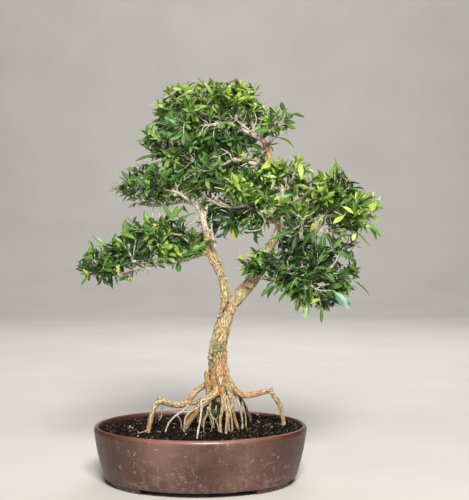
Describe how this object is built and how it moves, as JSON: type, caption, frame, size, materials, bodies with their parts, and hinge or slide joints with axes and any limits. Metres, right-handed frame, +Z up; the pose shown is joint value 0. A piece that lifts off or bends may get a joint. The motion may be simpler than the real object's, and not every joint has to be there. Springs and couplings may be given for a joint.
{
  "type": "serissa bonsai in a pot",
  "caption": "Old twin-trunk serissa bonsai on raised, spreading roots, with airy pads of small glossy leaves, planted in a low oval ceramic pot.",
  "frame": {"origin": "on the ground, under the middle of the whole tree's bounding box", "axes": "+Z up along the trunk, +X to the right along the pot's length, -Y towards the front of the tree"},
  "size_m": [0.354, 0.2046, 0.4746],
  "materials": {
    "pot": "satin, mauve-brown fired clay with pale scuffs",
    "drain_mesh": "matt black drainage mesh",
    "soil": "damp, near-black granular soil",
    "bark": "pale, flaky bark with darker fissures",
    "leaves": "waxy green leaves"
  },
  "bodies": {
    "root": {"pot": "pot", "drain_screen_1": "drain_mesh", "drain_screen_2": "drain_mesh", "soil": "soil", "tree_wood": "bark", "spray_crown_1": "leaves", "spray_crown_2": "leaves", "spray_crown_3": "leaves", "spray_crown_4": "leaves", "spray_crown_5": "leaves", "spray_crown_right_1": "leaves", "spray_crown_right_2": "leaves", "spray_shoulder_1": "leaves", "spray_shoulder_2": "leaves", "spray_shoulder_3": "leaves", "spray_middle_back_1": "leaves", "spray_middle_back_2": "leaves", "spray_upper_left_1": "leaves", "spray_upper_left_2": "leaves", "spray_upper_left_3": "leaves", "spray_upper_middle_1": "leaves", "spray_upper_middle_2": "leaves", "spray_centre_1": "leaves", "spray_centre_2": "leaves", "spray_centre_right_1": "leaves", "spray_centre_right_2": "leaves", "spray_centre_low_1": "leaves", "spray_centre_low_2": "leaves", "spray_upper_right_1": "leaves", "spray_upper_right_2": "leaves", "spray_upper_right_3": "leaves", "spray_upper_right_4": "leaves", "spray_right_tip_1": "leaves", "spray_right_tip_2": "leaves", "spray_neck_1": "leaves", "spray_lower_right_1": "leaves", "spray_lower_right_2": "leaves", "spray_lower_right_3": "leaves", "spray_lower_right_4": "leaves", "spray_lower_right_5": "leaves", "spray_fork_1": "leaves", "spray_lower_left_1": "leaves", "spray_lower_left_2": "leaves", "spray_lower_left_3": "leaves", "spray_left_tip_1": "leaves", "spray_left_tip_2": "leaves", "spray_left_inner_1": "leaves"}
  },
  "joints": []
}
